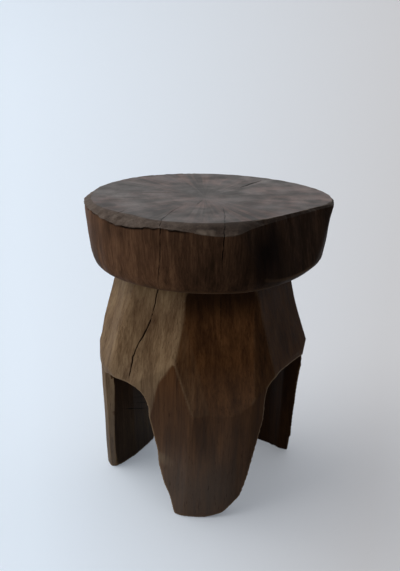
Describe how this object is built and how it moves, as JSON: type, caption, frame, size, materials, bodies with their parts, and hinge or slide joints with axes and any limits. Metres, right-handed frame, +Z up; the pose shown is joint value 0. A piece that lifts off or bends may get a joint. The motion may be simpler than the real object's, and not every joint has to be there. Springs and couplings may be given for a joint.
{
  "type": "stool",
  "caption": "Carved hardwood stool with a thick round seat, an undercut neck, a hewn faceted shoulder and flat-backed legs parted by arches.",
  "frame": {"origin": "on the floor, below the middle of the seat", "axes": "+Z up along the log; the front leg stands towards -Y; +X to the right as seen from the front"},
  "size_m": [0.364, 0.364, 0.446],
  "materials": {
    "seat_wood": "worn, oiled end grain",
    "base_wood": "hewn, oiled side grain"
  },
  "bodies": {
    "root": {"seat": "seat_wood", "neck": "base_wood", "shoulder": "base_wood", "front_leg": "base_wood", "left_leg": "base_wood", "right_leg": "base_wood"}
  },
  "joints": []
}
